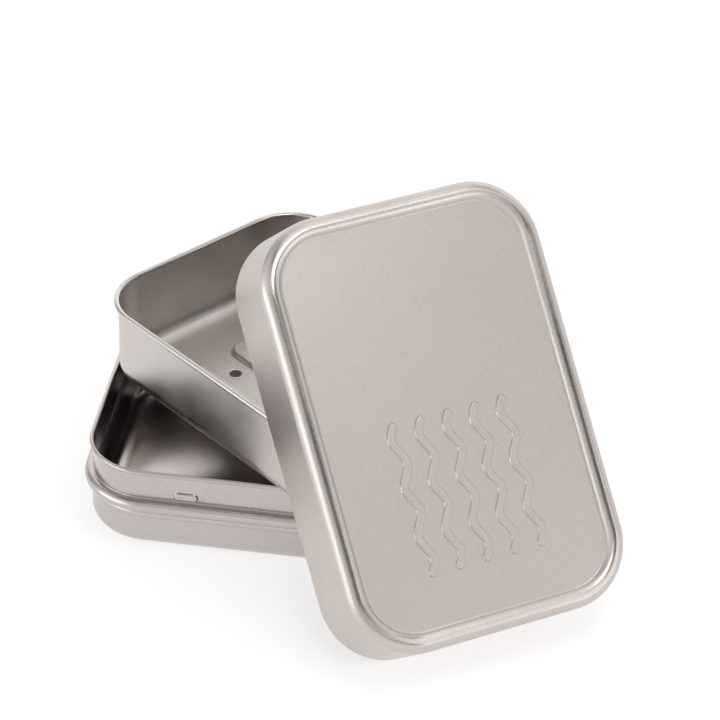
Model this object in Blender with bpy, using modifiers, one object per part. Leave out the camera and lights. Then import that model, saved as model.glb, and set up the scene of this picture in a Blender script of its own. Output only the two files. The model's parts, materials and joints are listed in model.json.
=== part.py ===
"""Soap tin in three drawn sheets: a shallow base with a rolled bead, a drain tray laid askew across the
base's rims, and the lid leaning back on the tray's near corner with its panel facing out.

Metres, +Z up. The origin is the centre of the base's underside, and the base's long sides run along X.
"""
import math

import bmesh
import bpy
from mathutils import Matrix, Vector

MM = 0.001

# Plan shared by the three pieces, taken over the outer face of the base's neck
NECK_LENGTH = 103.8 * MM
NECK_WIDTH = 70.0 * MM
NECK_CORNER_R = 14.8 * MM
SHEET = 0.3 * MM

# How the pieces fit and rest
TRAY_CLEARANCE = 0.7 * MM
REST_GAP = 0.3 * MM

# Base
BASE_HEIGHT = 24.3 * MM
BASE_FILLET_R = 5.0 * MM
LOWER_WALL_STEP = 0.5 * MM
BEAD_TOP = 15.5 * MM
BEAD_HEIGHT = 3.5 * MM
BEAD_PROUD = 2.3 * MM
UNDER_RIDGE_DROP = 0.5 * MM
UNDER_RIDGE_HEIGHT = 1.6 * MM
UNDER_RIDGE_PROUD = 0.3 * MM
BASE_CURL_R = 0.45 * MM
BASE_CURL_SWEEP = 240.0

# Lugs pressed out of the neck, which grip the lid
LUG_LENGTH = 6.0 * MM
LUG_WIDTH = 2.3 * MM
LUG_PROUD = 0.55 * MM
LUG_FROM_CENTRE = 25.4 * MM
LUG_ABOVE_BEAD = 1.9 * MM

# Drain tray
TRAY_HEIGHT = 23.4 * MM
TRAY_FILLET_R = 4.8 * MM
TRAY_CURL_R = 0.6 * MM
TRAY_CURL_SWEEP = 255.0
RIB_COUNT = 3
RIB_PITCH = 16.9 * MM
RIB_WIDTH = 8.9 * MM
RIB_STRAIGHT = 62.0 * MM
RIB_HEIGHT = 1.5 * MM
RIB_SLOPE_RUN = 1.3 * MM
DRAIN_HOLE_D = 3.2 * MM
DRAIN_HOLE_PITCH = 25.8 * MM
DRAIN_HOLES_PER_ROW = 3

# Lid
LID_DEPTH = 21.6 * MM
LID_OUTSIDE_BEAD = 0.1 * MM
LID_SHOULDER_R = 2.9 * MM
RIDGE_CREST = 0.25 * MM
RIDGE_SLOPE_RUN = 1.65 * MM
PANEL_DROP = 1.35 * MM

# How the tray lies on the base
TRAY_TURN = math.radians(-39.9)
TRAY_ALONG = 4.4 * MM
TRAY_ACROSS = -0.35 * MM

# How the lid leans: the heading and the height above level of the way that its panel faces
LID_HEADING = math.radians(-55.8)
LID_ELEVATION = math.radians(41.5)

# Smoothness
CORNER_STEPS = 9
ARC_STEP = 32.0
RIB_END_STEPS = 12
HOLE_STEPS = 20
MERGE = 0.00001
SMOOTH_ANGLE = math.radians(40.0)

HALF_SHEET = SHEET / 2
HALF_LENGTH = NECK_LENGTH / 2
HALF_WIDTH = NECK_WIDTH / 2
TRAY_FACE = -(SHEET + TRAY_CLEARANCE)
LID_FACE = BEAD_PROUD + LID_OUTSIDE_BEAD


def clear_scene():
    """Remove every object and collection that the file opened with."""
    for obj in list(bpy.data.objects):
        bpy.data.objects.remove(obj, do_unlink=True)
    for collection in list(bpy.data.collections):
        bpy.data.collections.remove(collection)


def arc(centre_u, centre_z, radius, start, end):
    """Points (outward, up) of an arc between two angles in degrees, both ends included."""
    steps = max(3, math.ceil(abs(end - start) / ARC_STEP))
    points = []
    for i in range(steps + 1):
        angle = math.radians(start + (end - start) * i / steps)
        points.append((centre_u + radius * math.cos(angle), centre_z + radius * math.sin(angle)))
    return points


def bulge(u, low, high, proud):
    """Points of a shallow outward bulge in a wall, from its low end to its high end."""
    half = (high - low) / 2
    radius = (proud * proud + half * half) / (2 * proud)
    reach = math.degrees(math.asin(min(1.0, half / radius)))
    return arc(u + proud - radius, (low + high) / 2, radius, -reach, reach)


def base_profile():
    """Middle line of the base's sheet, from the corner's axis on the floor out and up to the curl."""
    low = LOWER_WALL_STEP - HALF_SHEET
    neck = -HALF_SHEET
    fillet = BASE_FILLET_R - HALF_SHEET
    bead_r = BEAD_HEIGHT / 2 - HALF_SHEET
    bead_z = BEAD_TOP - BEAD_HEIGHT / 2
    bead_u = BEAD_PROUD - BEAD_HEIGHT / 2
    ridge_high = bead_z - bead_r - UNDER_RIDGE_DROP
    ridge_low = ridge_high - UNDER_RIDGE_HEIGHT
    points = [(-NECK_CORNER_R, HALF_SHEET)]
    points += arc(low - fillet, HALF_SHEET + fillet, fillet, -90, 0)
    points += bulge(low, ridge_low, ridge_high, UNDER_RIDGE_PROUD)
    points.append((low, bead_z - bead_r))
    points += arc(bead_u, bead_z, bead_r, -90, 90)
    points.append((neck, bead_z + bead_r))
    points += arc(neck + BASE_CURL_R, BASE_HEIGHT - HALF_SHEET - BASE_CURL_R, BASE_CURL_R, 180, 180 - BASE_CURL_SWEEP)
    return points


def tray_profile():
    """Middle line of the tray's sheet, from the corner's axis on the floor out and up to the curl."""
    wall = TRAY_FACE - HALF_SHEET
    fillet = TRAY_FILLET_R - HALF_SHEET
    points = [(-NECK_CORNER_R, HALF_SHEET)]
    points += arc(wall - fillet, HALF_SHEET + fillet, fillet, -90, 0)
    points += arc(wall + TRAY_CURL_R, TRAY_HEIGHT - HALF_SHEET - TRAY_CURL_R, TRAY_CURL_R, 180, 180 - TRAY_CURL_SWEEP)
    return points


def lid_profile():
    """Middle line of the lid's sheet, from the corner's axis on the panel out and down to the open rim."""
    wall = LID_FACE - HALF_SHEET
    shoulder = LID_SHOULDER_R - HALF_SHEET
    top = LID_DEPTH - HALF_SHEET
    crest = wall - shoulder - RIDGE_CREST
    steps = 6
    points = [(-NECK_CORNER_R, top - PANEL_DROP)]
    for i in range(steps + 1):
        rise = (1 - math.cos(math.pi * i / steps)) / 2
        points.append((crest - RIDGE_SLOPE_RUN * (1 - i / steps), top - PANEL_DROP * (1 - rise)))
    points += arc(wall - shoulder, top - shoulder, shoulder, 90, 0)
    points.append((wall, 0.0))
    return points


def quarter_sheet(name, profile):
    """Spin a profile round one corner and draw its ends out along both sides to the middle lines."""
    mesh = bpy.data.meshes.new(name)
    bm = bmesh.new()
    axis_x = HALF_LENGTH - NECK_CORNER_R
    axis_y = HALF_WIDTH - NECK_CORNER_R
    verts = [bm.verts.new((HALF_LENGTH + u, axis_y, z)) for u, z in profile]
    edges = [bm.edges.new((a, b)) for a, b in zip(verts, verts[1:])]
    bmesh.ops.spin(bm, geom=verts + edges, cent=(axis_x, axis_y, 0), axis=(0, 0, 1), angle=math.pi / 2,
                   steps=CORNER_STEPS, use_duplicate=False)
    bmesh.ops.remove_doubles(bm, verts=bm.verts[:], dist=MERGE)

    def draw_out(edge_list, direction):
        """Extrude edges along a direction and give back the new ones."""
        result = bmesh.ops.extrude_edge_only(bm, edges=edge_list)["geom"]
        moved = [item for item in result if isinstance(item, bmesh.types.BMVert)]
        bmesh.ops.translate(bm, verts=moved, vec=direction)
        return [item for item in result if isinstance(item, bmesh.types.BMEdge)]

    def on_line(edge, index, value):
        """Whether both ends of an edge have one coordinate at a value."""
        return all(abs(vert.co[index] - value) < MERGE for vert in edge.verts)

    across = [edge for edge in bm.edges if on_line(edge, 1, axis_y)]
    draw_out(across, Vector((0, -axis_y, 0)))
    along = [edge for edge in bm.edges if on_line(edge, 0, axis_x) and edge.is_boundary]
    draw_out(along, Vector((-axis_x, 0, 0)))
    bmesh.ops.remove_doubles(bm, verts=bm.verts[:], dist=MERGE)
    bmesh.ops.recalc_face_normals(bm, faces=bm.faces[:])
    bm.to_mesh(mesh)
    bm.free()
    return mesh


def drawn_sheet(name, profile, collection):
    """One drawn shell: a quarter of its middle surface, mirrored twice and thickened to the sheet."""
    obj = bpy.data.objects.new(name, quarter_sheet(name, profile))
    collection.objects.link(obj)
    mirror = obj.modifiers.new("Both halves", "MIRROR")
    mirror.use_axis = (True, True, False)
    mirror.use_clip = True
    mirror.merge_threshold = MERGE
    thick = obj.modifiers.new("Sheet", "SOLIDIFY")
    thick.thickness = SHEET
    thick.offset = 0.0
    thick.use_even_offset = True
    thick.use_quality_normals = True
    return obj


def long_boss(name, straight, rings, steps, collection):
    """A round-ended boss lofted through rings, each given as a radius and a height."""
    mesh = bpy.data.meshes.new(name)
    bm = bmesh.new()
    loops = []
    for radius, height in rings:
        made = bmesh.ops.create_circle(bm, segments=2 * steps, radius=radius,
                                       matrix=Matrix.Rotation(math.pi / (2 * steps), 4, "Z"))["verts"]
        for vert in made:
            vert.co.x += math.copysign(straight / 2, vert.co.x)
            vert.co.z = height
        loops.append(list({edge for vert in made for edge in vert.link_edges}))
    for lower, upper in zip(loops, loops[1:]):
        bmesh.ops.bridge_loops(bm, edges=lower + upper)
    bmesh.ops.holes_fill(bm, edges=[edge for edge in bm.edges if edge.is_boundary])
    bmesh.ops.recalc_face_normals(bm, faces=bm.faces[:])
    bm.to_mesh(mesh)
    bm.free()
    obj = bpy.data.objects.new(name, mesh)
    collection.objects.link(obj)
    hide_cutter(obj)
    return obj


def hide_cutter(obj):
    """Keep a cutter out of the render and show it as wire."""
    obj.hide_render = True
    obj.display_type = "WIRE"


def repeat(obj, label, count, offset):
    """Repeat an object at a constant offset."""
    array = obj.modifiers.new(label, "ARRAY")
    array.count = count
    array.use_relative_offset = False
    array.use_constant_offset = True
    array.constant_offset_displace = offset


def boolean(obj, label, operation, cutter):
    """Join a solid to an object or cut it away."""
    modifier = obj.modifiers.new(label, "BOOLEAN")
    modifier.operation = operation
    modifier.solver = "EXACT"
    modifier.object = cutter


def tinplate(name, color, roughness):
    """Bright tinplate, the same in the viewport as in a render."""
    material = bpy.data.materials.new(name)
    material.use_nodes = True
    shader = material.node_tree.nodes["Principled BSDF"]
    shader.inputs["Base Color"].default_value = color
    shader.inputs["Metallic"].default_value = 1.0
    shader.inputs["Roughness"].default_value = roughness
    material.diffuse_color = color
    material.metallic = 1.0
    material.roughness = roughness
    return material


def press_lugs(base, cutters):
    """Press the neck's lugs outward, with the dent that they leave inside."""
    radius = LUG_WIDTH / 2
    straight = LUG_LENGTH - LUG_WIDTH
    soft = 0.35 * LUG_PROUD
    outside = [(radius, -HALF_SHEET), (radius, soft), (radius - soft, LUG_PROUD - soft / 2), (radius - 2 * soft, LUG_PROUD)]
    inside = [(r - HALF_SHEET, h - SHEET) for r, h in outside]
    inside[0] = (radius - HALF_SHEET, -2 * SHEET)
    height = BEAD_TOP + LUG_ABOVE_BEAD
    for label, operation, rings in (("lug", "UNION", outside), ("lug_dent", "DIFFERENCE", inside)):
        boss = long_boss(label, straight, rings, RIB_END_STEPS // 2, cutters)
        for vert in boss.data.vertices:
            vert.co = Vector((vert.co.x + LUG_FROM_CENTRE, -HALF_WIDTH - vert.co.z, vert.co.y + height))
        mirror = boss.modifiers.new("Four lugs", "MIRROR")
        mirror.use_axis = (True, True, False)
        mirror.use_mirror_merge = False
        boolean(base, label, operation, boss)


def press_ribs(tray, cutters):
    """Press the floor's long ribs up, hollow below as pressed sheet is."""
    radius = RIB_WIDTH / 2
    top = SHEET + RIB_HEIGHT
    run = RIB_SLOPE_RUN
    outside = [(radius, HALF_SHEET), (radius, SHEET), (radius - run / 4, SHEET + RIB_HEIGHT / 8),
               (radius - 3 * run / 4, top - RIB_HEIGHT / 8), (radius - run, top)]
    inside = [(r - HALF_SHEET, z - SHEET) for r, z in outside]
    inside[0] = (radius - HALF_SHEET, -SHEET)
    for label, operation, rings in (("rib", "UNION", outside), ("rib_hollow", "DIFFERENCE", inside)):
        boss = long_boss(label, RIB_STRAIGHT, rings, RIB_END_STEPS, cutters)
        start = -RIB_PITCH * (RIB_COUNT - 1) / 2
        for vert in boss.data.vertices:
            vert.co.y += start
        repeat(boss, "Ribs", RIB_COUNT, (0, RIB_PITCH, 0))
        follow(boss, tray)
        boolean(tray, label, operation, boss)


def punch_drains(tray, cutters):
    """Punch a row of drain holes down each channel between two ribs."""
    mesh = bpy.data.meshes.new("drain_punch")
    bm = bmesh.new()
    bmesh.ops.create_cone(bm, cap_ends=True, segments=HOLE_STEPS, radius1=DRAIN_HOLE_D / 2,
                          radius2=DRAIN_HOLE_D / 2, depth=4 * SHEET,
                          matrix=Matrix.Translation((-DRAIN_HOLE_PITCH * (DRAIN_HOLES_PER_ROW - 1) / 2,
                                                     -RIB_PITCH * (RIB_COUNT - 2) / 2, HALF_SHEET)))
    bm.to_mesh(mesh)
    bm.free()
    punch = bpy.data.objects.new("drain_punch", mesh)
    cutters.objects.link(punch)
    hide_cutter(punch)
    repeat(punch, "Along a channel", DRAIN_HOLES_PER_ROW, (DRAIN_HOLE_PITCH, 0, 0))
    repeat(punch, "Channels", RIB_COUNT - 1, (0, RIB_PITCH, 0))
    follow(punch, tray)
    boolean(tray, "drain", "DIFFERENCE", punch)


def follow(cutter, owner):
    """Tie a cutter to the piece that it shapes, so the two move as one."""
    cutter.parent = owner


def outline(outward, height):
    """Corner and side points of the shared plan, pushed outward, at one height."""
    radius = NECK_CORNER_R + outward
    points = []
    for quarter in range(4):
        sign_x = 1 if quarter in (0, 3) else -1
        sign_y = 1 if quarter in (0, 1) else -1
        for i in range(CORNER_STEPS + 1):
            angle = math.radians(90 * (quarter + i / CORNER_STEPS))
            points.append(Vector((sign_x * (HALF_LENGTH - NECK_CORNER_R) + radius * math.cos(angle),
                                  sign_y * (HALF_WIDTH - NECK_CORNER_R) + radius * math.sin(angle), height)))
    return points


def outer_rings(profile, placing):
    """Closed rings of points just outside a drawn sheet, in the world."""
    rings = []
    for u, z in profile[1:]:
        for outward, up in ((u + HALF_SHEET, z), (u, z + HALF_SHEET), (u, z - HALF_SHEET)):
            rings.append([placing @ point for point in outline(outward, up)])
    return rings


def tray_placing():
    """The tray lies flat on the base's rims, turned and a little off centre."""
    spot = Vector((TRAY_ALONG, TRAY_ACROSS, BASE_HEIGHT + REST_GAP))
    return Matrix.Translation(spot) @ Matrix.Rotation(TRAY_TURN, 4, "Z")


def reach_past(rings, mouth):
    """How far points in front of the mouth's plane reach to each side, cut exactly at the plane."""
    sides = []
    for ring in rings:
        for a, b in zip(ring, ring[1:] + ring[:1]):
            if a.z > mouth:
                sides.append(a.y)
            if (a.z - mouth) * (b.z - mouth) < 0:
                sides.append(a.lerp(b, (mouth - a.z) / (b.z - a.z)).y)
    return (min(sides), max(sides)) if sides else (0.0, 0.0)


def lid_placing():
    """Rest the lid on three touches: the floor, the tray's corner inside the panel, and one long skirt.

    The way that the panel faces is given. The lid then goes back along it until the panel lies on the
    tray's near corner, or until the corner fills the mouth from skirt to skirt.
    """
    face = Vector((math.cos(LID_ELEVATION) * math.cos(LID_HEADING),
                   math.cos(LID_ELEVATION) * math.sin(LID_HEADING), math.sin(LID_ELEVATION)))
    across = Vector((math.sin(LID_HEADING), -math.cos(LID_HEADING), 0.0))
    along = across.cross(face)
    turn = Matrix((along, across, face)).transposed()
    to_lid = turn.transposed().to_4x4()
    rings = outer_rings(base_profile(), to_lid) + outer_rings(tray_profile(), to_lid @ tray_placing())

    inside_depth = LID_DEPTH - PANEL_DROP - SHEET
    inside_half = HALF_WIDTH + LID_FACE - SHEET
    deepest = max(point.z for ring in rings for point in ring)
    mouth = deepest + REST_GAP - inside_depth
    draw_back = REST_GAP / 2
    low, high = reach_past(rings, mouth - REST_GAP)
    while high - low > 2 * (inside_half - REST_GAP):
        mouth += draw_back
        low, high = reach_past(rings, mouth - REST_GAP)
    side = low + inside_half - REST_GAP

    lowest = min(face.z * z - along.z * (HALF_LENGTH + u + HALF_SHEET) for u, z in lid_profile())
    up_slope = -(lowest + face.z * mouth) / along.z
    origin = along * up_slope + across * side + face * mouth
    return Matrix.Translation(origin) @ turn.to_4x4()


def finish(obj, material):
    """Give a piece its material and smooth shading with sharp folds."""
    obj.data.materials.append(material)
    obj.data.shade_smooth()
    obj.data.set_sharp_from_angle(angle=SMOOTH_ANGLE)


def build_base(collection, cutters):
    """The shallow tin that the others fit."""
    base = drawn_sheet("tin_base", base_profile(), collection)
    press_lugs(base, cutters)
    finish(base, tinplate("tinplate_base", (0.80, 0.77, 0.75, 1.0), 0.24))
    return base


def build_tray(collection, cutters):
    """The drain tray, at the place where it lies on the base."""
    tray = drawn_sheet("drain_tray", tray_profile(), collection)
    press_ribs(tray, cutters)
    punch_drains(tray, cutters)
    finish(tray, tinplate("tinplate_tray", (0.79, 0.77, 0.75, 1.0), 0.28))
    placing = tray_placing()
    tray.location = placing.to_translation()
    tray.rotation_euler = placing.to_euler()
    return tray


def build_lid(collection):
    """The lid, leaning on the tray."""
    lid = drawn_sheet("lid", lid_profile(), collection)
    finish(lid, tinplate("tinplate_lid", (0.81, 0.78, 0.75, 1.0), 0.34))
    placing = lid_placing()
    lid.location = placing.to_translation()
    lid.rotation_euler = placing.to_euler()
    return lid


def main():
    """Build the soap tin."""
    clear_scene()
    collection = bpy.data.collections.new("Soap tin")
    cutters = bpy.data.collections.new("Cutters")
    bpy.context.scene.collection.children.link(collection)
    bpy.context.scene.collection.children.link(cutters)
    build_base(collection, cutters)
    build_tray(collection, cutters)
    build_lid(collection)
    bpy.context.view_layer.update()


main()
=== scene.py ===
"""Soap tin in satin tinplate: a base, a drain tray laid askew on its rims and a lid leaning on the tray.

Each piece is one drawn sheet. A Geometry Nodes tree sweeps the sheet's middle line round the shared plan,
fills its flat floor round whatever is pressed or punched there, and the sheet then gets its thickness.
"""
import json
import logging
import math
from dataclasses import dataclass, field, fields
from enum import Enum
from typing import Any, ClassVar

import bmesh
import bpy
from mathutils import Matrix, Vector


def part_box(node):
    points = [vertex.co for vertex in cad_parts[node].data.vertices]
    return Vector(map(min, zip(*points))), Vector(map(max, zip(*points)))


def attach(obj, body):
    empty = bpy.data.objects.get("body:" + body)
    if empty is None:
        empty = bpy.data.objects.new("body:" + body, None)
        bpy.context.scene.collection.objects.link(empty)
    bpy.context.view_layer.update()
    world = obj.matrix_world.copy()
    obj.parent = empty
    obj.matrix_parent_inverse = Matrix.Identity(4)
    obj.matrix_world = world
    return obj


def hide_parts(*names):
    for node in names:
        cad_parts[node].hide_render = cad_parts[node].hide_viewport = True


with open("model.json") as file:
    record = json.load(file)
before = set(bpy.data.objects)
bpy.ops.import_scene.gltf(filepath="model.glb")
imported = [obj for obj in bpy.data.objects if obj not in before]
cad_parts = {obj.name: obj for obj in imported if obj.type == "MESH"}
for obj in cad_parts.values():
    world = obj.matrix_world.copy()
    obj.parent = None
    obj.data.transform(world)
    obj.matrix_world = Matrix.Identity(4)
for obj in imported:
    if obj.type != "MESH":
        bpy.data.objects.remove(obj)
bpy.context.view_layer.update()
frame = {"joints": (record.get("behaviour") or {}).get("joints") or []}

LOG = logging.getLogger("soap_tin")

MM = 0.001
MERGE = 0.000005
SHARP_ANGLE = math.radians(38.0)
WHITE = (1.0, 1.0, 1.0, 1.0)

# Attribute that says how much the tool worked the sheet, from 0 to 1.
WORKED = "Worked"
# What brings share * (1 - share) to 1 halfway up a pressing's slope.
SLOPE_PEAK = 4.0
# The range that holds nearly all of a noise.
NOISE_MIDDLE = (0.3, 0.7)

# Largest angles in degrees between two points of an arc, and the fewest steps of an arc.
ARC_STEP = 7.5
BEND_STEP = 5.0
FINE_STEP = 4.0
CURL_STEP = 15.0
FEWEST_STEPS = 4
# Straight runs shorter than this many margins get no points near their ends.
SHORTEST_RUN = 3

Point = tuple[float, float]
Place = tuple[float, float, float]
Color = tuple[float, float, float, float]
Node = bpy.types.Node
Socket = bpy.types.NodeSocket
Object = bpy.types.Object
Mesh = bpy.types.Mesh
Material = bpy.types.Material
Pressed = tuple[list[Socket], list[Socket]]
Inputs = dict[str | int, Any]
Sizes = dict[str, float | int]


class Body(Enum):
    """The three bodies of the frame, each with its node and its finish's slot."""

    BASE = ("base", "tin_base", "tinplate_base")
    TRAY = ("tray", "drain_tray", "tinplate_tray")
    LID = ("lid", "lid", "tinplate_lid")

    def __init__(self, body: str, node: str, slot: str) -> None:
        """Keep the names of the body, its node and its finish's slot."""
        self.body, self.node, self.slot = body, node, slot


class Pressing(Enum):
    """Which way a pressing moves the sheet."""

    RAISED = 1.0
    SUNK = -1.0

    def rise(self, depth: float) -> float:
        """How far a pressing of a depth rises, negative where it sinks."""
        return self.value * depth


class Ease(Enum):
    """How a value moves between two others."""

    EVEN = "LINEAR"
    SOFT = "SMOOTHSTEP"
    SOFTER = "SMOOTHERSTEP"


@dataclass(frozen=True)
class Plan:
    """Rounded rectangle that the three pieces share, over the outer face of the base's neck."""

    length: float = 103.8 * MM
    width: float = 70.0 * MM
    corner_radius: float = 14.8 * MM
    sheet: float = 0.3 * MM
    corner_steps: int = 28
    side_step: float = 3.0 * MM

    @property
    def half_sheet(self) -> float:
        """Half of the sheet's thickness."""
        return self.sheet / 2


@dataclass(frozen=True)
class Slope:
    """A pressing's side: width on plan, rise (negative where it sinks), flat margins and points."""

    run: Any
    rise: Any
    margin: Any
    steps: int


class Layout:
    """A node tree that the script lays out node by node."""

    def __init__(self, tree: bpy.types.NodeTree) -> None:
        """Work on one tree."""
        self.tree = tree

    def feed(self, node: Node, inputs: Inputs) -> Node:
        """Set or link a node's inputs.

        Args:
            node: the node.
            inputs: a value or a socket for each input, by number or by name.

        Returns:
            The node.
        """
        for label, value in inputs.items():
            named = (socket for socket in node.inputs if socket.name == label and socket.enabled)
            socket = node.inputs[label] if isinstance(label, int) else next(named)
            if isinstance(value, Socket):
                self.tree.links.new(value, socket)
            else:
                socket.default_value = value
        return node

    def add(self, kind: str, inputs: Inputs | None = None, **settings: Any) -> Node:
        """Add a node.

        Args:
            kind: the node's type.
            inputs: its inputs, as for feed().
            settings: the node's own settings.

        Returns:
            The node.
        """
        made = self.tree.nodes.new(kind)
        for label, value in settings.items():
            setattr(made, label, value)
        return self.feed(made, inputs or {})

    def node(self, kind: str, inputs: Inputs | None = None, **settings: Any) -> Socket:
        """Add a node as add() does, and give back its first output in use."""
        return next(socket for socket in self.add(kind, inputs, **settings).outputs if socket.enabled)

    def math(self, operation: str, first: Any, second: Any = 0.0) -> Socket:
        """One sum on numbers."""
        return self.node("ShaderNodeMath", {0: first, 1: second}, operation=operation)

    def times(self, first: Any, second: Any) -> Socket:
        """Product of two numbers."""
        return self.math("MULTIPLY", first, second)

    def ramp(self, value: Any, start: Any, end: Any, low: Any, high: Any, ease: Ease = Ease.SOFT) -> Socket:
        """Map a value from between start and end to between low and high."""
        ends = {"Value": value, "From Min": start, "From Max": end, "To Min": low, "To Max": high}
        return self.node("ShaderNodeMapRange", ends, interpolation_type=ease.value)


class Shader(Layout):
    """The nodes of a material or of the room."""

    def noise(self, vector: Socket, size: float, detail: float) -> Socket:
        """A noise of one size in metres, from 0 to 1."""
        return self.node("ShaderNodeTexNoise", {"Vector": vector, "Scale": 1.0 / size, "Detail": detail})

    def spread(self, noise: Socket, low: float, high: float) -> Socket:
        """Map a noise's middle range to two values."""
        return self.ramp(noise, *NOISE_MIDDLE, low, high, Ease.EVEN)

    def mix(self, under: Any, over: Any, share: Any, blend: str = "MIX") -> Socket:
        """Lay a share of one colour over another."""
        colors = {"A": under, "B": over, "Factor": share}
        return self.node("ShaderNodeMix", colors, data_type="RGBA", blend_type=blend)

    def seen(self) -> Socket:
        """Tell what shows from what only lights.

        Returns:
            1 for what the camera, a reflection or a pane shows, and 0 for other light.
        """
        path = self.add("ShaderNodeLightPath").outputs
        direct = self.math("MAXIMUM", path["Is Camera Ray"], path["Is Glossy Ray"])
        return self.math("MAXIMUM", direct, path["Is Transmission Ray"])


@dataclass(frozen=True)
class Tinplate:
    """Satin tinplate: a warm grey metal, finely grained, with its own gloss where the tool bent it."""

    name: str
    color: Place
    flat_rough: float = 0.42
    bent_rough: float = 0.2
    smudge: float = 0.04
    grain_size: float = 0.4 * MM
    grain_depth: float = 0.006 * MM
    grain_detail: float = 2.0
    speckle: float = 0.1
    rolling_stretch: float = 9.0
    ripple_size: float = 26.0 * MM
    ripple_depth: float = 0.02 * MM
    plain_detail: float = 1.0
    tint: float = 0.035

    def material(self, turn: Matrix) -> Material:
        """Build the node material.

        Args:
            turn: rotation that lays the piece, and its rolled grain with it.

        Returns:
            The new material.
        """
        material = bpy.data.materials.new(self.name)
        material.use_nodes = True
        shader = Shader(material.node_tree)
        back = turn.to_3x3().transposed().to_euler()
        place = shader.add("ShaderNodeTexCoord").outputs["Object"]
        own = shader.node("ShaderNodeMapping", {"Vector": place, "Rotation": back}, vector_type="POINT")
        stretch = (1.0 / self.rolling_stretch, 1.0, 1.0)
        rolled = shader.node("ShaderNodeMapping", {"Vector": own, "Scale": stretch})
        grain = shader.noise(own, self.grain_size, self.grain_detail)
        lines = shader.noise(rolled, self.grain_size, self.plain_detail)
        cloud = shader.noise(own, self.ripple_size, self.plain_detail)

        red, green, blue = self.color
        warmth = 1.0 - self.tint
        warm = (red, green * warmth, blue * warmth, 1.0)
        tinted = shader.mix((red, green, blue, 1.0), warm, shader.spread(cloud, 0.0, 1.0))
        dim = 1.0 - self.speckle
        spots = shader.spread(grain, 0.0, 1.0)
        speckled = shader.mix(tinted, (dim, dim, dim, 1.0), spots, "MULTIPLY")

        worked = shader.add("ShaderNodeAttribute", attribute_name=WORKED).outputs["Fac"]
        polish = shader.ramp(worked, 0.0, 1.0, self.flat_rough, self.bent_rough, Ease.EVEN)
        rough = shader.math("ADD", polish, shader.spread(cloud, -self.smudge, self.smudge))

        under = {}
        fine = self.grain_depth
        for noise, depth in ((cloud, self.ripple_depth), (lines, fine), (grain, fine)):
            bump = {"Strength": 1.0, "Distance": depth, "Height": noise}
            under = {"Normal": shader.node("ShaderNodeBump", bump | under)}
        metal = {"Metallic": 1.0, "Base Color": speckled, "Roughness": rough}
        shader.feed(material.node_tree.nodes["Principled BSDF"], metal | under)
        return material


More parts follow.
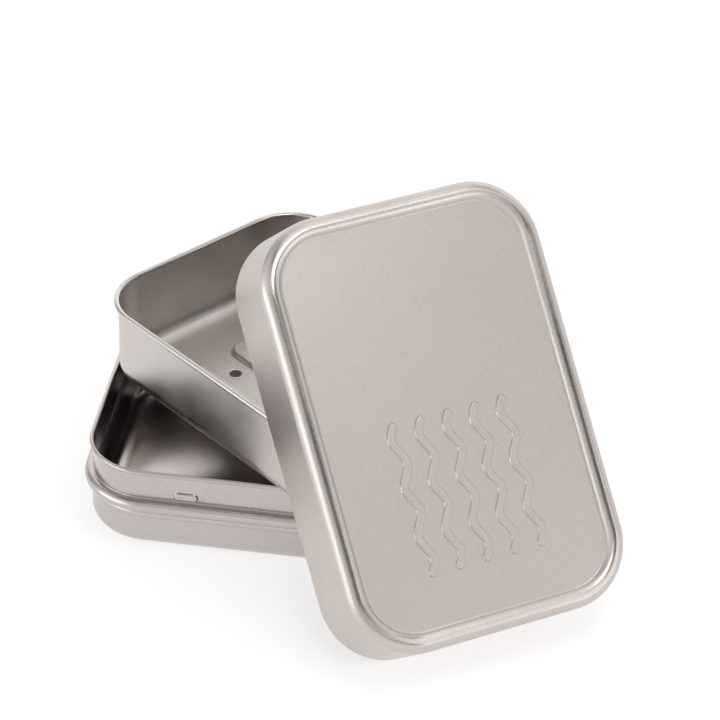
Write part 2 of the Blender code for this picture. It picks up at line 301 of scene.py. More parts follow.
class Sketch(Layout):
    """A Geometry Nodes tree with named inputs for its sizes."""

    def __init__(self, name: str, sizes: Sizes) -> None:
        """Open a tree.

        Args:
            name: what the tree makes.
            sizes: each input's name and value, where a whole number makes an integer input.
        """
        super().__init__(bpy.data.node_groups.new(name, "GeometryNodeTree"))
        self.sizes = sizes
        self.socket("Geometry", "Geometry")
        for label, value in sizes.items():
            self.socket(label, "Int" if isinstance(value, int) else "Float")
        self.socket("Finish", "Material")
        self.socket("Geometry", "Geometry", "OUTPUT")
        self.group = self.add("NodeGroupInput")

    def socket(self, label: str, kind: str, way: str = "INPUT") -> None:
        """Give the tree an input or an output."""
        self.tree.interface.new_socket(name=label, in_out=way, socket_type=f"NodeSocket{kind}")

    def geo(self, kind: str, inputs: Inputs | None = None, **settings: Any) -> Socket:
        """Add a geometry node as node() does, by the end of its type's name."""
        return self.node(f"GeometryNode{kind}", inputs, **settings)

    def size(self, label: str) -> Socket:
        """The socket of a named input."""
        return self.group.outputs[label]

    def vector(self, x: Any = 0.0, y: Any = 0.0, z: Any = 0.0) -> Socket:
        """A vector from three numbers or sockets."""
        return self.node("ShaderNodeCombineXYZ", {"X": x, "Y": y, "Z": z})

    def split(self) -> bpy.types.NodeOutputs:
        """The X, Y and Z of each point's place."""
        return self.add("ShaderNodeSeparateXYZ", {"Vector": self.geo("InputPosition")}).outputs

    def join(self, *parts: Socket) -> Socket:
        """Join several geometries.

        Args:
            parts: the geometries, in order.

        Returns:
            All of them as one.
        """
        joined = self.add("GeometryNodeJoinGeometry")
        for part in reversed(parts):
            self.feed(joined, {"Geometry": part})
        return joined.outputs["Geometry"]

    def finish(self, geometry: Socket) -> None:
        """Weld the sheet, realize what is instanced and set the finish.

        Args:
            geometry: the sheet's middle surface, in parts whose edges meet.
        """
        welded = self.geo("MergeByDistance", {"Geometry": geometry, "Distance": MERGE})
        smooth = self.geo("SetShadeSmooth", {"Geometry": welded})
        real = self.geo("RealizeInstances", {"Geometry": smooth})
        dressed = self.geo("SetMaterial", {"Geometry": real, "Material": self.size("Finish")})
        self.add("NodeGroupOutput", {"Geometry": dressed})

    def put_on(self, obj: Object, finish: Material) -> None:
        """Give an object the tree as a modifier, with its sizes.

        Args:
            obj: the sheet's middle line.
            finish: its material.
        """
        modifier = obj.modifiers.new(self.tree.name, "NODES")
        modifier.node_group = self.tree
        identifiers = {item.name: item.identifier for item in self.tree.interface.items_tree
                       if item.in_out == "INPUT"}
        for label, value in (self.sizes | {"Finish": finish}).items():
            modifier[identifiers[label]] = value

    def divide(self, curve: Socket, step: Any) -> Socket:
        """Divide a curve's long straight runs, and leave its arcs as they are.

        Args:
            curve: a closed curve.
            step: about how long a divided run is.

        Returns:
            The divided curve.
        """
        here = self.geo("InputPosition")
        walk = {"Point Index": self.geo("InputIndex"), "Offset": 1}
        ahead = self.add("GeometryNodeOffsetPointInCurve", walk).outputs["Point Index"]
        next_point = {"Value": here, "Index": ahead}
        beyond = self.geo("FieldAtIndex", next_point, data_type="FLOAT_VECTOR", domain="POINT")
        reach = self.node("ShaderNodeVectorMath", {0: here, 1: beyond}, operation="DISTANCE")
        cuts = self.math("FLOOR", self.math("DIVIDE", reach, step))
        return self.geo("SubdivideCurve", {"Curve": curve, "Cuts": cuts})

    def upright(self, curve: Socket) -> Socket:
        """Turn a flat curve's normals level, pointing out of it."""
        return self.geo("SetCurveNormal", {"Curve": curve}, mode="Z_UP")

    def offset(self, curve: Socket, distance: Any) -> Socket:
        """Push a flat closed curve outward by a distance."""
        push = self.node("ShaderNodeVectorMath", {0: self.geo("InputNormal"), "Scale": distance},
                         operation="SCALE")
        return self.geo("SetPosition", {"Geometry": curve, "Offset": push})

    def lift(self, geometry: Socket, height: Any) -> Socket:
        """Lift a geometry to a height."""
        return self.geo("Transform", {"Geometry": geometry, "Translation": self.vector(z=height)})

    def fill(self, curves: Socket, height: Any) -> Socket:
        """Fill flat closed curves, with the inner ones left open, and lift the result to a height."""
        return self.lift(self.geo("FillCurve", {"Curve": curves}, mode="NGONS"), height)

    def sweep(self, curve: Socket, profile: Socket, height: Any = 0.0) -> Socket:
        """Sweep a profile round a flat curve and lift the result to a height."""
        swept = self.geo("CurveToMesh", {"Curve": curve, "Profile Curve": profile})
        return self.lift(swept, height)

    def slope(self, side: Slope) -> Socket:
        """Profile of a soft slope that rises inward, with a flat margin at its head and its foot.

        A swept profile's Y hangs down, so the rise is drawn downward here.

        Args:
            side: the slope's sizes.

        Returns:
            The profile, from its inner end to its outer end.
        """
        inner = self.times(self.math("ADD", side.run, side.margin), -1.0)
        ends = {"Start": self.vector(x=inner), "End": self.vector(x=side.margin)}
        line = self.geo("CurvePrimitiveLine", ends)
        points = self.geo("ResampleCurve", {"Curve": line, "Count": side.steps}, mode="COUNT")
        share = self.ramp(self.split()["X"], self.times(side.run, -1.0), 0.0, 1.0, 0.0, Ease.SOFTER)
        drop = self.vector(y=self.times(share, self.times(side.rise, -1.0)))
        halfway = self.times(share, self.math("SUBTRACT", 1.0, share))
        marks = {"Geometry": points, "Name": WORKED, "Value": self.times(halfway, SLOPE_PEAK)}
        marked = self.geo("StoreNamedAttribute", marks, data_type="FLOAT", domain="POINT")
        return self.geo("SetPosition", {"Geometry": marked, "Offset": drop})

    def long_outline(self, straight: Any, width: Any, steps: int, step: Any) -> Socket:
        """Round-ended long outline on X, centred, with its straight sides divided.

        Args:
            straight: length between the centres of the round ends.
            width: full width.
            steps: half of the points of one round end.
            step: about how long a divided run of the sides is.

        Returns:
            The closed outline.
        """
        radius = self.math("DIVIDE", width, 2.0)
        circle = self.geo("CurvePrimitiveCircle", {"Resolution": 4 * steps + 2, "Radius": radius})
        shift = self.times(self.math("SIGN", self.split()["X"]), self.math("DIVIDE", straight, 2.0))
        drawn = self.geo("SetPosition", {"Geometry": circle, "Offset": self.vector(x=shift)})
        return self.divide(drawn, step)

    def row(self, count: Any, pitch: Any, x: Any = 0.0, y: Any = 0.0) -> Socket:
        """Points in a row on Y.

        Args:
            count: how many there are.
            pitch: the distance from one to the next.
            x: the middle of the row on X.
            y: the middle of the row on Y.

        Returns:
            The points.
        """
        first = self.times(self.math("SUBTRACT", count, 1.0), self.times(pitch, -0.5))
        start = self.vector(x, self.math("ADD", first, y))
        return self.geo("MeshLine", {"Count": count, "Start Location": start, "Offset": self.vector(y=pitch)})

    def set_out(self, places: Socket, curve: Socket) -> Socket:
        """Copies of a curve at places, as plain curves."""
        copies = self.geo("InstanceOnPoints", {"Points": places, "Instance": curve})
        return self.geo("RealizeInstances", {"Geometry": copies})

    def press(self, outline: Socket, side: Slope) -> tuple[Socket, Socket]:
        """Press flat closed outlines out of the floor.

        Args:
            outline: the foot of each pressing's slope.
            side: that slope's sizes.

        Returns:
            The curves to leave open in the floor, and the pressings' own surface.
        """
        height = self.size("Floor Height")
        path = self.upright(outline)
        foot = self.offset(path, side.margin)
        head = self.offset(path, self.times(self.math("ADD", side.run, side.margin), -1.0))
        slope = self.sweep(path, self.slope(side), height)
        return foot, self.join(slope, self.fill(head, self.math("ADD", height, side.rise)))


def arc(centre: Point, radius: float, start: float, end: float, step: float = ARC_STEP) -> list[Point]:
    """Points of an arc between two angles.

    Args:
        centre: (outward, up) of the arc's centre.
        radius: the arc's radius.
        start: first angle in degrees, from outward towards up.
        end: last angle in degrees.
        step: largest angle between two points.

    Returns:
        The points (outward, up), both ends included.
    """
    steps = max(FEWEST_STEPS, math.ceil(abs(end - start) / step))
    points = []
    for i in range(steps + 1):
        angle = math.radians(start + (end - start) * i / steps)
        points.append((centre[0] + radius * math.cos(angle), centre[1] + radius * math.sin(angle)))
    return points


def curl(wall: float, top: float, radius: float, sweep: float) -> list[Point]:
    """Points of a rim that curls outward over the top of a wall."""
    return arc((wall + radius, top - radius), radius, 180, 180 - sweep, CURL_STEP)


def chain(*runs: list[Point], margin: float) -> list[Point]:
    """Join arcs by straight runs, with a point near each end of a run to keep its shading flat.

    Args:
        runs: lists of points, in order.
        margin: how far those points lie from the bends.

    Returns:
        All points, without doubles.
    """
    points = list(runs[0])
    for run in runs[1:]:
        last = Vector(points[-1])
        first = Vector(run[0])
        gap = (first - last).length
        along = (first - last).normalized() * margin
        if gap >= SHORTEST_RUN * margin:
            points += [tuple(last + along), tuple(first - along)]
        points += run[1:] if gap < MERGE else run
    return points


def bends(points: list[Point], least: float, tight: float, fade: float) -> list[float]:
    """How much the tool worked the sheet at each point of a profile.

    Args:
        points: the profile, from the flat floor outward.
        least: the share for a straight wall.
        tight: largest radius of a bend that is worked fully.
        fade: height over the floor where the floor's own finish ends.

    Returns:
        A share from 0 at the floor to 1 in a tight bend.
    """
    shares = [0.0]
    for before, here, after in zip(points, points[1:], points[2:]):
        into = Vector(here) - Vector(before)
        out = Vector(after) - Vector(here)
        curvature = into.angle(out) / ((into.length + out.length) / 2)
        bent = least + (1.0 - least) * min(1.0, curvature * tight)
        shares.append(bent * min(1.0, abs(here[1] - points[0][1]) / fade) ** 2)
    shares.append(least)
    return shares


def placed(name: str, data: bpy.types.ID) -> Object:
    """Put a new object in the scene.

    Args:
        name: its name.
        data: its mesh, lamp or camera.

    Returns:
        The object.
    """
    obj = bpy.data.objects.new(name, data)
    bpy.context.scene.collection.objects.link(obj)
    return obj


def settled(obj: Object) -> Mesh:
    """Settle an object.

    Args:
        obj: the object.

    Returns:
        A plain mesh of it as its modifiers leave it.
    """
    depsgraph = bpy.context.evaluated_depsgraph_get()
    depsgraph.update()
    return bpy.data.meshes.new_from_object(obj.evaluated_get(depsgraph))


def corners(mesh: Mesh) -> tuple[Vector, Vector]:
    """Lowest and highest corners of a mesh's box."""
    columns = list(zip(*(vert.co for vert in mesh.vertices)))
    return Vector([min(column) for column in columns]), Vector([max(column) for column in columns])


@dataclass
class DrawnSheet:
    """One piece of the tin: a sheet drawn to a profile round the shared plan."""

    part: Body
    finish: Tinplate
    plan: Plan = field(default_factory=Plan)
    margin: float = 0.25 * MM
    floor_inset: float = 9.0 * MM
    wall_work: float = 0.25
    tight_bend: float = 2.0 * MM
    floor_fade: float = 4.0 * MM
    pressed: ClassVar[tuple[str, ...]] = ()

    def profile(self) -> list[Point]:
        """Middle line of the sheet (outward, up), from the floor's edge to the rim."""
        raise NotImplementedError

    def floor_height(self) -> float:
        """Height of the floor's middle line."""
        return self.plan.half_sheet

    def sizes(self) -> Sizes:
        """Name the inputs of the piece's tree.

        Returns:
            The shared sizes, and each field whose name starts as a pressing's does.
        """
        pressed = [item.name for item in fields(self) if item.name.startswith(self.pressed)]
        return {
            "Neck Length": self.plan.length,
            "Neck Width": self.plan.width,
            "Corner Radius": self.plan.corner_radius,
            "Corner Steps": self.plan.corner_steps,
            "Side Step": self.plan.side_step,
            "Margin": self.margin,
            "Floor Inset": self.floor_inset,
            "Floor Height": self.floor_height(),
        } | {name.replace("_", " ").title(): getattr(self, name) for name in pressed}

    def press_floor(self, sketch: Sketch) -> Pressed:
        """Press or punch the floor: the curves left open there, and what is pressed."""
        return [], []

    def sketch(self) -> Sketch:
        """Lay out the tree that turns the profile into the sheet's middle surface.

        Returns:
            The tree.
        """
        sheet = Sketch(f"Drawn {self.part.node}", self.sizes())
        size = sheet.size
        sides = {"Width": size("Neck Length"), "Height": size("Neck Width")}
        corner = {"Curve": sheet.geo("CurvePrimitiveQuadrilateral", sides), "Radius": size("Corner Radius"),
                  "Count": size("Corner Steps")}
        rounded = sheet.geo("FilletCurve", corner, mode="POLY")
        path = sheet.upright(sheet.divide(rounded, size("Side Step")))
        wall = sheet.sweep(path, sheet.geo("MeshToCurve", {"Mesh": size("Geometry")}))
        edge = sheet.offset(path, sheet.times(size("Floor Inset"), -1.0))
        open_curves, pressed = self.press_floor(sheet)
        floor = sheet.fill(sheet.join(edge, *open_curves), size("Floor Height"))
        sheet.finish(sheet.join(wall, floor, *pressed))
        return sheet

    def middle(self, material: Material) -> Mesh:
        """Run the tree and clean its result.

        Args:
            material: the piece's finish.

        Returns:
            The sheet's middle surface, welded, with its normals made consistent.
        """
        points = self.profile()
        line = bpy.data.meshes.new(f"{self.part.node}_profile")
        pairs = [(i, i + 1) for i in range(len(points) - 1)]
        line.from_pydata([(u, -z, 0.0) for u, z in points], pairs, [])
        shares = bends(points, self.wall_work, self.tight_bend, self.floor_fade)
        line.attributes.new(WORKED, "FLOAT", "POINT").data.foreach_set("value", shares)
        holder = placed(line.name, line)
        self.sketch().put_on(holder, material)
        mesh = settled(holder)
        bpy.data.objects.remove(holder)
        bm = bmesh.new()
        bm.from_mesh(mesh)
        bmesh.ops.remove_doubles(bm, verts=bm.verts[:], dist=MERGE)
        bmesh.ops.recalc_face_normals(bm, faces=bm.faces[:])
        bm.to_mesh(mesh)
        bm.free()
        return mesh

    def shape(self, obj: Object) -> list[Object]:
        """Cut or add what the sheet carries besides, and give back the tools to clear away."""
        return []

    def placing(self) -> Matrix:
        """Rotation that lays the piece as it rests."""
        return Matrix.Identity(4)

    def seat(self, mesh: Mesh) -> Vector:
        """Find the piece's seat.

        Args:
            mesh: the piece, already turned.

        Returns:
            How far it is from its node's place, from the middles of the two boxes.
        """
        low, high = (Vector(corner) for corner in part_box(self.part.node))
        own_low, own_high = corners(mesh)
        return (low + high) / 2 - (own_low + own_high) / 2

    def build(self) -> Object:
        """Build the piece, seat it where its node is, dress it and tie it to its body.

        Returns:
            The finished object.
        """
        turn = self.placing()
        material = self.finish.material(turn)
        piece = placed(f"{self.part.node}_sheet", self.middle(material))
        thick = piece.modifiers.new("Sheet", "SOLIDIFY")
        thick.thickness = self.plan.sheet
        thick.offset = 0.0
        thick.use_even_offset = True
        thick.use_quality_normals = True
        tools = self.shape(piece)
        mesh = settled(piece)
        piece.modifiers.clear()
        piece.data = mesh
        mesh.materials.clear()
        mesh.materials.append(material)
        mesh.polygons.foreach_set("material_index", [0] * len(mesh.polygons))
        for tool in tools:
            bpy.data.objects.remove(tool)
        mesh.transform(turn)
        mesh.transform(Matrix.Translation(self.seat(mesh)))
        mesh.shade_smooth()
        mesh.set_sharp_from_angle(angle=SHARP_ANGLE)
        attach(piece, self.part.body)
        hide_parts(self.part.node)
        return piece


@dataclass
class TinBase(DrawnSheet):
    """The shallow base, with its rolled bead, the thin ridge below it and the curled rim."""

    height: float = 24.3 * MM
    fillet: float = 5.0 * MM
    wall_step: float = 0.5 * MM
    bead_top: float = 15.5 * MM
    bead_height: float = 3.5 * MM
    bead_proud: float = 2.3 * MM
    bead_gap: float = 0.02 * MM
    neck_blend: float = 0.35 * MM
    ridge_drop: float = 0.5 * MM
    ridge_height: float = 1.6 * MM
    ridge_proud: float = 0.3 * MM
    curl_radius: float = 0.45 * MM
    curl_sweep: float = 240.0
    lug_length: float = 6.0 * MM
    lug_width: float = 2.1 * MM
    lug_proud: float = 0.55 * MM
    lug_from_centre: float = 25.4 * MM
    lug_above_bead: float = 1.9 * MM
    lug_run: float = 0.5 * MM
    lug_steps: int = 10

    def profile(self) -> list[Point]:
        """Middle line of the sheet, from the floor's edge up to the curl.

        Returns:
            Its points (outward, up).
        """
        half = self.plan.half_sheet
        low = self.wall_step - half
        neck = -half
        fillet = self.fillet - half
        bead_r = self.bead_height / 2 - half
        bead_z = self.bead_top - self.bead_height / 2
        bead_u = self.bead_proud - self.bead_height / 2
        ridge_high = bead_z - bead_r - self.ridge_drop
        ridge_low = ridge_high - self.ridge_height
        proud = self.ridge_proud
        rise = self.ridge_height / 2
        radius = (proud * proud + rise * rise) / (2 * proud)
        reach = math.degrees(math.asin(rise / radius))
        blend = self.neck_blend
        return chain(
            [(-self.floor_inset, half)],
            arc((low - fillet, half + fillet), fillet, -90, 0),
            arc((low + proud - radius, (ridge_low + ridge_high) / 2), radius, -reach, reach, FINE_STEP),
            [(low, bead_z - bead_r - self.bead_gap)],
            arc((bead_u, bead_z), bead_r, -90, 90, FINE_STEP),
            arc((neck + blend, bead_z + bead_r + blend), blend, 270, 180, CURL_STEP),
            curl(neck, self.height - half, self.curl_radius, self.curl_sweep),
            margin=self.margin,
        )

    def shape(self, obj: Object) -> list[Object]:
        """Press the lugs that grip the lid out of the neck, with the dents that they leave inside.

        Args:
            obj: the base's object, already with its sheet's thickness.

        Returns:
            The tools, to clear away once the object is settled.
        """
        half = self.plan.half_sheet
        blister = self.lug_tool("lug_blister", 0.0, 0.0, -half)
        dent = self.lug_tool("lug_dent", half, self.plan.sheet, -2 * self.plan.sheet)
        for label, operation, tool in (("Lugs", "UNION", blister), ("Dents", "DIFFERENCE", dent)):
            pressed = obj.modifiers.new(label, "BOOLEAN")
            pressed.operation = operation
            pressed.solver = "EXACT"
            pressed.object = tool
        return [blister, dent]

    def lug_tool(self, name: str, inset: float, drop: float, root: float) -> Object:
        """Four round-ended blisters on the neck's long sides, as one mesh of closed parts.

        Args:
            name: the tool's name.
            inset: how much smaller than the lug's outline the tool is.
            drop: how much lower than the lug's top the tool is.
            root: where the tool starts, as a distance out of the neck's face.

        Returns:
            The tool's object.
        """
        bm = bmesh.new()
        rings = [(self.lug_width / 2 + self.lug_run / 2 - inset, root)]
        for i in range(self.lug_steps + 1):
            share = i / self.lug_steps
            rise = (1 - math.cos(math.pi * share)) / 2
            radius = self.lug_width / 2 + self.lug_run * (0.5 - share) - inset
            rings.append((radius, self.lug_proud * rise - drop))
        half_straight = (self.lug_length - self.lug_width) / 2
        height = self.bead_top + self.lug_above_bead
        count = 4 * self.lug_steps + 2
        for side_x, side_y in ((-1, -1), (-1, 1), (1, -1), (1, 1)):
            loops = []
            for radius, out in rings:
                loops.append([])
                for i in range(count):
                    angle = math.tau * i / count
                    x = radius * math.cos(angle)
                    x += math.copysign(half_straight, x) + side_x * self.lug_from_centre
                    y = side_y * (self.plan.width / 2 + out)
                    loops[-1].append(bm.verts.new((x, y, height + radius * math.sin(angle))))
            for lower, upper in zip(loops, loops[1:]):
                for i in range(count):
                    after = (i + 1) % count
                    bm.faces.new((lower[i], lower[after], upper[after], upper[i]))
            bm.faces.new(loops[0])
            bm.faces.new(loops[-1])
        mesh = bpy.data.meshes.new(name)
        bmesh.ops.recalc_face_normals(bm, faces=bm.faces[:])
        bm.to_mesh(mesh)
        bm.free()
        worked = mesh.attributes.new(WORKED, "FLOAT", "POINT")
        worked.data.foreach_set("value", [self.wall_work] * len(mesh.vertices))
        return placed(name, mesh)


@dataclass
class DrainTray(DrawnSheet):
    """The drain tray, with long ribs pressed up in its floor and a row of holes down each channel."""

    height: float = 23.4 * MM
    fillet: float = 4.8 * MM
    clearance: float = 0.7 * MM
    curl_radius: float = 0.6 * MM
    curl_sweep: float = 255.0
    rib_count: int = 3
    rib_pitch: float = 16.9 * MM
    rib_width: float = 8.9 * MM
    rib_straight: float = 62.0 * MM
    rib_height: float = Pressing.RAISED.rise(1.5 * MM)
    rib_run: float = 1.3 * MM
    hole: float = 3.2 * MM
    hole_pitch: float = 25.8 * MM
    holes_per_row: int = 3
    hole_roll: float = 0.3 * MM
    hole_drop: float = Pressing.SUNK.rise(0.12 * MM)
    end_steps: int = 14
    slope_steps: int = 22
    punch_sides: int = 40
    punch_steps: int = 7
    turn: float = math.radians(-39.9)
    pressed: ClassVar[tuple[str, ...]] = ("rib", "hole")

    def profile(self) -> list[Point]:
        """Middle line of the sheet, from the floor's edge up to the curl.

        Returns:
            Its points (outward, up).
        """
        half = self.plan.half_sheet
        wall = -self.plan.sheet - self.clearance - half
        fillet = self.fillet - half
        return chain(
            [(-self.floor_inset, half)],
            arc((wall - fillet, half + fillet), fillet, -90, 0),
            curl(wall, self.height - half, self.curl_radius, self.curl_sweep),
            margin=self.margin,
        )

    def press_floor(self, sketch: Sketch) -> Pressed:
        """Press ribs in a row, and punch a grid of drain holes between them.

        Args:
            sketch: the tray's tree.

        Returns:
            The curves left open in the floor, and what is pressed there.
        """
        size = sketch.size
        step = size("Side Step")
        outline = sketch.long_outline(size("Rib Straight"), size("Rib Width"), self.end_steps, step)
        ribs = sketch.set_out(sketch.row(size("Rib Count"), size("Rib Pitch")), outline)
        side = Slope(size("Rib Run"), size("Rib Height"), size("Margin"), self.slope_steps)
        foot, ribbed = sketch.press(ribs, side)

        along = sketch.times(sketch.math("SUBTRACT", size("Holes Per Row"), 1.0), size("Hole Pitch"))
        rows = sketch.math("SUBTRACT", size("Rib Count"), 1.0)
        across = sketch.times(sketch.math("SUBTRACT", rows, 1.0), size("Rib Pitch"))
        grid = sketch.geo("MeshGrid", {"Size X": along, "Size Y": across, "Vertices X": size("Holes Per Row"),
                                       "Vertices Y": rows})
        reach = sketch.math("ADD", sketch.math("DIVIDE", size("Hole"), 2.0), size("Hole Roll"))
        ring = sketch.geo("CurvePrimitiveCircle", {"Resolution": self.punch_sides, "Radius": reach})
        holes = sketch.upright(sketch.set_out(grid, ring))
        rolled = sketch.slope(Slope(size("Hole Roll"), size("Hole Drop"), 0.0, self.punch_steps))
        return [foot, holes], [ribbed, sketch.sweep(holes, rolled, size("Floor Height"))]

    def placing(self) -> Matrix:
        """The tray lies level, turned across the base."""
        return Matrix.Rotation(self.turn, 4, "Z")


@dataclass
class Lid(DrawnSheet):
    """The lid, whose panel lies a step below its rolled ridge."""

    floor_inset: float = 4.2 * MM
    floor_fade: float = 1.35 * MM
    tight_bend: float = 2.8 * MM
    depth: float = 21.6 * MM
    face: float = 2.4 * MM
    shoulder: float = 3.0 * MM
    crest_radius: float = 0.4 * MM
    crest_angle: float = 6.0
    brow_radius: float = 2.6 * MM
    foot_radius: float = 1.05 * MM
    slope_angle: float = 50.0
    panel_drop: float = 1.35 * MM
    ripple_count: int = 5
    ripple_pitch: float = 7.4 * MM
    ripple_straight: float = 36.0 * MM
    ripple_stroke: float = 2.3 * MM
    ripple_wave: float = 12.0 * MM
    ripple_swing: float = 1.2 * MM
    ripple_press: float = Pressing.RAISED.rise(0.45 * MM)
    ripple_run: float = 0.45 * MM
    ripple_x: float = -18.0 * MM
    ripple_y: float = -0.5 * MM
    end_steps: int = 7
    slope_steps: int = 12
    stroke_step: float = 0.6 * MM
    margin_parts: float = 3.0
    pressed: ClassVar[tuple[str, ...]] = ("ripple",)

    def floor_height(self) -> float:
        """Height of the panel's middle line."""
        return self.depth - self.plan.half_sheet - self.panel_drop

    def profile(self) -> list[Point]:
        """Middle line of the sheet, from the panel's edge over the ridge and down to the open rim.

        Returns:
            Its points (outward, up).
        """
        half = self.plan.half_sheet
        wall = self.face - half
        shoulder = self.shoulder - half
        crest, brow, foot = self.crest_radius, self.brow_radius, self.foot_radius
        tilt = math.radians(self.crest_angle)
        crest_u = wall - shoulder + (shoulder - crest) * math.sin(tilt)
        crest_z = self.depth - half - crest
        shoulder_z = crest_z - (shoulder - crest) * math.cos(tilt)
        brow_u = crest_u + (brow - crest) * math.sin(tilt)
        brow_z = crest_z - (brow - crest) * math.cos(tilt)
        angle = math.radians(self.slope_angle)
        foot_z = self.floor_height() + foot
        bends_across = (brow + foot) * math.sin(angle)
        bends_down = (brow + foot) * math.cos(angle)
        straight = (brow_z + bends_down - foot_z) / math.tan(angle)
        foot_u = brow_u - bends_across - straight
        high = 90 + self.crest_angle
        low = 90 - self.crest_angle
        return chain(
            [(-self.floor_inset, self.floor_height())],
            arc((foot_u, foot_z), foot, -90, self.slope_angle - 90, FINE_STEP),
            arc((brow_u, brow_z), brow, 90 + self.slope_angle, high, BEND_STEP),
            arc((crest_u, crest_z), crest, high, low, FINE_STEP),
            arc((wall - shoulder, shoulder_z), shoulder, low, 0, BEND_STEP),
            [(wall, 0.0)],
            margin=self.margin,
        )

    def press_floor(self, sketch: Sketch) -> Pressed:
        """Press rows of ripples in the panel's lower half.

        Args:
            sketch: the lid's tree.

        Returns:
            The curves left open in the panel, and what is pressed there.
        """
        size = sketch.size
        step = self.stroke_step
        outline = sketch.long_outline(size("Ripple Straight"), size("Ripple Stroke"), self.end_steps, step)
        places = sketch.row(size("Ripple Count"), size("Ripple Pitch"), size("Ripple X"), size("Ripple Y"))
        ripples = sketch.set_out(places, self.bend(sketch, outline))
        margin = sketch.math("DIVIDE", size("Margin"), self.margin_parts)
        side = Slope(size("Ripple Run"), size("Ripple Press"), margin, self.slope_steps)
        foot, pressed = sketch.press(ripples, side)
        return [foot], [pressed]

    @staticmethod
    def bend(sketch: Sketch, outline: Socket) -> Socket:
        """Bend a long outline on X into a wave, at an even stroke.

        Args:
            sketch: the tree.
            outline: the straight outline.

        Returns:
            The wavy outline.
        """
        split = sketch.split()
        rate = sketch.math("DIVIDE", math.tau, sketch.size("Ripple Wave"))
        phase = sketch.times(split["X"], rate)
        swing = sketch.size("Ripple Swing")
        height = sketch.times(sketch.math("SINE", phase), swing)
        steepness = sketch.times(sketch.math("COSINE", phase), sketch.times(swing, rate))
        angle = sketch.math("ARCTANGENT", steepness)
        aside = sketch.times(sketch.times(sketch.math("SINE", angle), split["Y"]), -1.0)
        ahead = sketch.times(sketch.math("COSINE", angle), split["Y"])
        bent = sketch.vector(sketch.math("ADD", split["X"], aside), sketch.math("ADD", height, ahead))
        return sketch.geo("SetPosition", {"Geometry": outline, "Position": bent})

    def placing(self) -> Matrix:
        """Turn the panel along the way that the lid's joint takes it, with its short sides level.

        Returns:
            The rotation.
        """
        axis = next(joint["axis"] for joint in frame["joints"] if joint["child"] == self.part.body)
        face = Vector(axis).normalized()
        across = Vector((face.y, -face.x, 0.0)).normalized()
        along = across.cross(face)
        return Matrix((along, across, face)).transposed().to_4x4()


@dataclass(frozen=True)
class Softbox:
    """A flat soft lamp that faces the tin."""

    name: str
    place: Place
    size: Point
    brightness: float

    def hang(self) -> None:
        """Add the lamp, with the power that gives its face its brightness."""
        data = bpy.data.lights.new(self.name, "AREA")
        data.shape = "RECTANGLE"
        data.size, data.size_y = self.size
        data.energy = self.brightness * math.pi * self.size[0] * self.size[1]
        lamp = placed(self.name, data)
        lamp.location = self.place
        lamp.rotation_euler = Vector(self.place).to_track_quat("Z", "Y").to_euler()
        lamp.visible_camera = False


@dataclass(frozen=True)
class Card:
    """A soft-edged white or black card in the room, by its direction from the tin in degrees."""

    name: str
    azimuth: float
    elevation: float
    half_width: float
    half_height: float
    edge: float
    brightness: float

    def hang(self, shader: Shader, way: Socket, behind: Any) -> Socket:
        """Lay the card over what lies behind it.

        Args:
            shader: the room's nodes.
            way: the direction looked in.
            behind: the brightness behind the card.

        Returns:
            The brightness with the card.
        """
        turned = shader.node("ShaderNodeVectorRotate", {"Vector": way, "Angle": math.radians(self.azimuth)},
                             rotation_type="Z_AXIS", label=self.name)
        split = shader.add("ShaderNodeSeparateXYZ", {"Vector": turned}).outputs
        aside = shader.math("ABSOLUTE", shader.math("ARCTAN2", split["X"], split["Y"]))
        height = shader.math("ARCSINE", split["Z"])
        above = shader.math("ABSOLUTE", shader.math("SUBTRACT", height, math.radians(self.elevation)))
        across = shader.ramp(aside, *self.span(self.half_width), 1.0, 0.0)
        upward = shader.ramp(above, *self.span(self.half_height), 1.0, 0.0)
        return shader.ramp(shader.times(across, upward), 0.0, 1.0, behind, self.brightness)

    def span(self, half: float) -> Point:
        """Angles from the card's middle where its soft edge starts and ends."""
        return math.radians(half - self.edge / 2), math.radians(half + self.edge / 2)


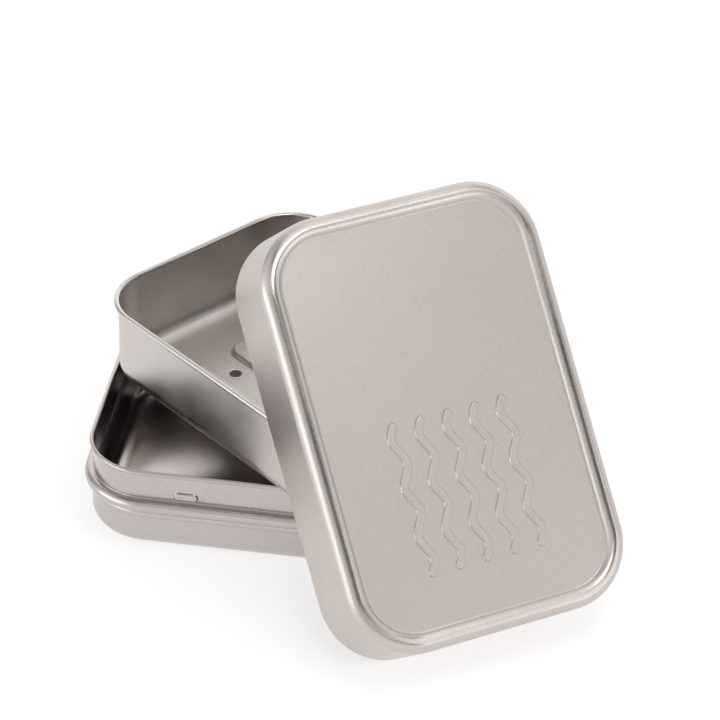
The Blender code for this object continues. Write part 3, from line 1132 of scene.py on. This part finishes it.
@dataclass
class Studio:
    """Pale floor, soft lamps, a white room with white and black cards, and the camera of the photograph."""

    lamps: tuple[Softbox, ...] = (
        Softbox("overhead_softbox", (0.15, 0.1, 1.3), (0.9, 0.9), 1.15),
        Softbox("left_softbox", (-0.98, -0.67, 0.13), (0.96, 0.74), 2.5),
        Softbox("front_softbox", (0.12, -0.17, 0.4), (0.2, 0.16), 2.3),
        Softbox("right_softbox", (0.638, -0.278, 0.186), (0.5, 0.39), 1.15),
    )
    cards: tuple[Card, ...] = (
        Card("backdrop", 0.0, 10.0, 40.0, 30.0, 25.0, 1.35),
        Card("dull_left_back", -66.0, 20.0, 16.0, 40.0, 20.0, 0.5),
        Card("dull_left_high", -130.0, 62.0, 45.0, 14.0, 16.0, 0.75),
        Card("dull_back_high", 45.0, 52.0, 22.0, 9.0, 8.0, 0.55),
        Card("bright_right_high", 105.0, 56.0, 26.0, 6.0, 4.0, 1.3),
        Card("behind_overhead", 0.0, 90.0, 190.0, 27.0, 6.0, 0.12),
        Card("dull_left_edge", -162.0, 33.0, 10.0, 8.0, 6.0, 0.55),
        Card("behind_left", -124.0, 6.0, 22.0, 18.0, 6.0, 0.1),
        Card("behind_front", 145.0, 61.0, 20.0, 10.0, 6.0, 0.1),
        Card("dull_front", 160.0, 12.0, 28.0, 16.0, 12.0, 0.7),
        Card("behind_right", 114.0, 10.0, 20.0, 17.0, 2.0, 0.1),
        Card("dull_right", 84.0, 28.0, 11.0, 9.0, 8.0, 0.6),
        Card("black_right", 104.0, 36.0, 10.0, 6.0, 5.0, 0.1),
        Card("black_front", 151.0, 42.0, 29.0, 8.0, 6.0, 0.1),
        Card("bright_gap", 116.0, 39.0, 3.5, 7.0, 2.0, 1.5),
        Card("bright_above", 109.0, 47.0, 6.0, 5.0, 3.0, 1.2),
    )
    lens: float = 181.384
    sensor: float = 36.0
    place: Place = (113.69 * MM, -748.03 * MM, 572.26 * MM)
    azimuth: float = math.radians(7.66)
    elevation: float = math.radians(35.18)
    roll: float = math.radians(1.605)
    floor_radius: float = 6.0
    floor_sides: int = 96
    backdrop_height: float = 0.5
    floor_color: float = 0.56
    floor_glow: float = 0.66
    white_from: float = 0.2
    white_by: float = 0.7
    room_light: float = 1.0
    fill_light: float = 0.6
    dark_tint: Color = (0.92, 1.0, 0.92, 1.0)

    def build(self) -> None:
        """Set the camera, the floor, the room and the lamps."""
        self.camera()
        self.floor()
        self.room()
        for lamp in self.lamps:
            lamp.hang()
        bpy.context.scene.view_settings.view_transform = "Standard"

    def camera(self) -> None:
        """Camera of the photograph, from a fit of the tin's outlines."""
        data = bpy.data.cameras.new("photo_camera")
        data.lens = self.lens
        data.sensor_width = self.sensor
        data.sensor_fit = "HORIZONTAL"
        camera = placed("photo_camera", data)
        pitch = Matrix.Rotation(math.pi / 2 - self.elevation, 4, "X")
        turn = Matrix.Rotation(self.azimuth, 4, "Z") @ pitch @ Matrix.Rotation(self.roll, 4, "Z")
        camera.matrix_world = Matrix.Translation(self.place) @ turn
        bpy.context.scene.camera = camera

    def floor(self) -> None:
        """A wide pale floor with a low backdrop round it."""
        count = self.floor_sides
        turns = [Matrix.Rotation(math.tau * i / count, 3, "Z") for i in range(count)]
        edges = [Vector((self.floor_radius, 0.0, z)) for z in (0.0, self.backdrop_height)]
        points = [turn @ edge for edge in edges for turn in turns]
        walls = [(i, (i + 1) % count, count + (i + 1) % count, count + i) for i in range(count)]
        mesh = bpy.data.meshes.new("studio_floor")
        mesh.from_pydata(points, [], [tuple(range(count)), *walls])
        mesh.materials.append(self.floor_material())
        placed("studio_floor", mesh)

    def floor_material(self) -> Material:
        """Build the floor's finish.

        Returns:
            A pale matt that takes the tin's shadow near it and is plain white far from it.
        """
        material = bpy.data.materials.new("studio_floor")
        material.use_nodes = True
        shader = Shader(material.node_tree)
        nodes = material.node_tree.nodes
        pale = (*[self.floor_color] * 3, 1.0)
        plain = {"Base Color": pale, "Roughness": 1.0, "Specular IOR Level": 0.0}
        matt = shader.feed(nodes["Principled BSDF"], plain).outputs[0]
        seen = shader.seen()
        glow = shader.node("ShaderNodeEmission", {"Strength": shader.times(seen, self.floor_glow)})
        near = shader.node("ShaderNodeAddShader", {0: matt, 1: glow})
        white = shader.node("ShaderNodeEmission", {"Strength": 1.0})
        place = shader.add("ShaderNodeTexCoord").outputs["Object"]
        reach = shader.node("ShaderNodeVectorMath", {0: place}, operation="LENGTH")
        far = shader.times(seen, shader.ramp(reach, self.white_from, self.white_by, 0.0, 1.0))
        mix = shader.node("ShaderNodeMixShader", {0: far, 1: near, 2: white})
        shader.feed(nodes["Material Output"], {"Surface": mix})
        return material

    def room(self) -> None:
        """A white room with its cards, which lights matt things less than it shows."""
        world = bpy.data.worlds.new("studio_room")
        world.use_nodes = True
        shader = Shader(world.node_tree)
        way = shader.add("ShaderNodeTexCoord").outputs["Generated"]
        light = self.room_light
        for card in self.cards:
            light = card.hang(shader, way, light)
        level = shader.ramp(shader.seen(), 0.0, 1.0, self.fill_light, 1.0)
        glow = {"Color": shader.mix(self.dark_tint, WHITE, light), "Strength": shader.times(light, level)}
        shader.feed(world.node_tree.nodes["Background"], glow)
        bpy.context.scene.world = world


def main() -> None:
    """Build the three pieces in order, then the studio round them."""
    logging.basicConfig(level=logging.INFO, format="%(name)s %(message)s")
    # The base's tinplate is darker than the tray's and the lid's: painted shade, standing in for the shade
    # inside the base under the tray and for the shadowed floor that its walls reflect.
    base_finish = Tinplate("tinplate_base", (0.56, 0.52, 0.505), flat_rough=0.19, bent_rough=0.26)
    tray_finish = Tinplate("tinplate_tray", (0.64, 0.607, 0.58), ripple_size=13.0 * MM,
                           ripple_depth=0.09 * MM)
    lid_finish = Tinplate("tinplate_lid", (0.612, 0.562, 0.53))
    pieces = (TinBase(Body.BASE, base_finish), DrainTray(Body.TRAY, tray_finish), Lid(Body.LID, lid_finish))
    for piece in pieces:
        made = piece.build()
        low, high = corners(made.data)
        LOG.info("%s spans %s mm", made.name, [round((b - a) / MM, 2) for a, b in zip(low, high)])
    Studio().build()


if __name__ == "__main__":
    main()
